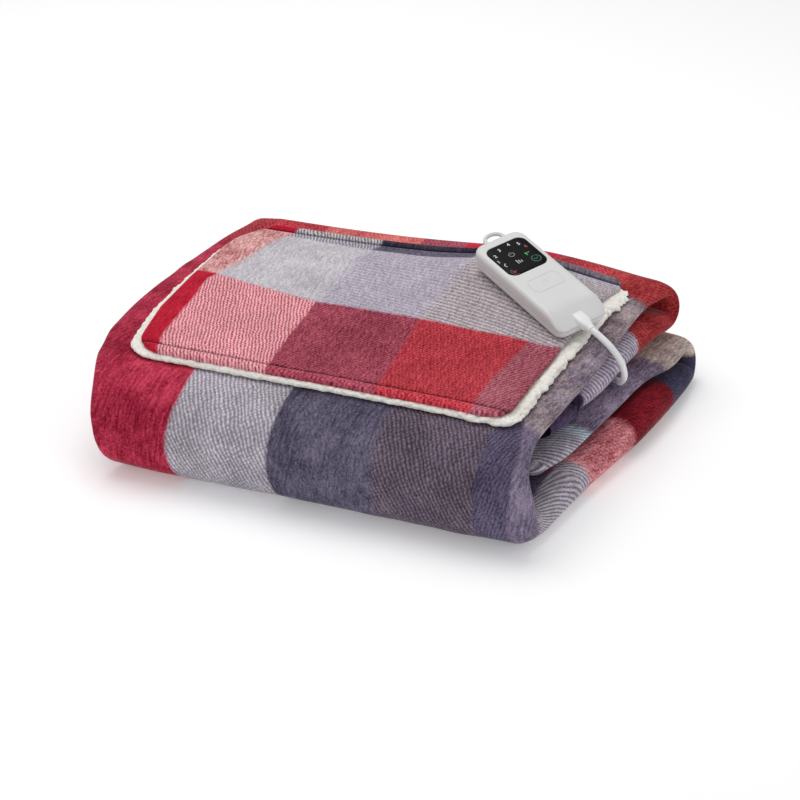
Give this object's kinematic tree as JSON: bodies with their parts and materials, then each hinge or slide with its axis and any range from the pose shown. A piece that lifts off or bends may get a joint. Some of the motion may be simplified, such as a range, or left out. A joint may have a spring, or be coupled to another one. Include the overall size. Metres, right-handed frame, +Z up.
{
  "type": "electric heated blanket",
  "caption": "Folded electric heated throw in check fleece with a hemmed flap lined in pile, and its hand controller and cord lying on top.",
  "frame": {"origin": "on the surface under the middle of the folded pack", "axes": "+X along the pack to its folded end, +Y to its back, +Z up"},
  "size_m": [0.4756, 0.3941, 0.1534],
  "materials": {
    "check_fleece": "short-pile printed fleece with a twill rib, large check in reds, greys and slate",
    "pile_lining": "cream tufted pile",
    "case": "white satin moulded plastic",
    "panel": "glossy black touch panel",
    "lead": "white soft plastic sleeve"
  },
  "bodies": {
    "root": {"blanket": "check_fleece", "sherpa_lining": "pile_lining", "controller_upper_shell": "case", "controller_lower_shell": "case", "touch_panel": "panel", "hanging_loop": "case", "cord_gland": "lead", "cord": "lead"}
  },
  "joints": []
}
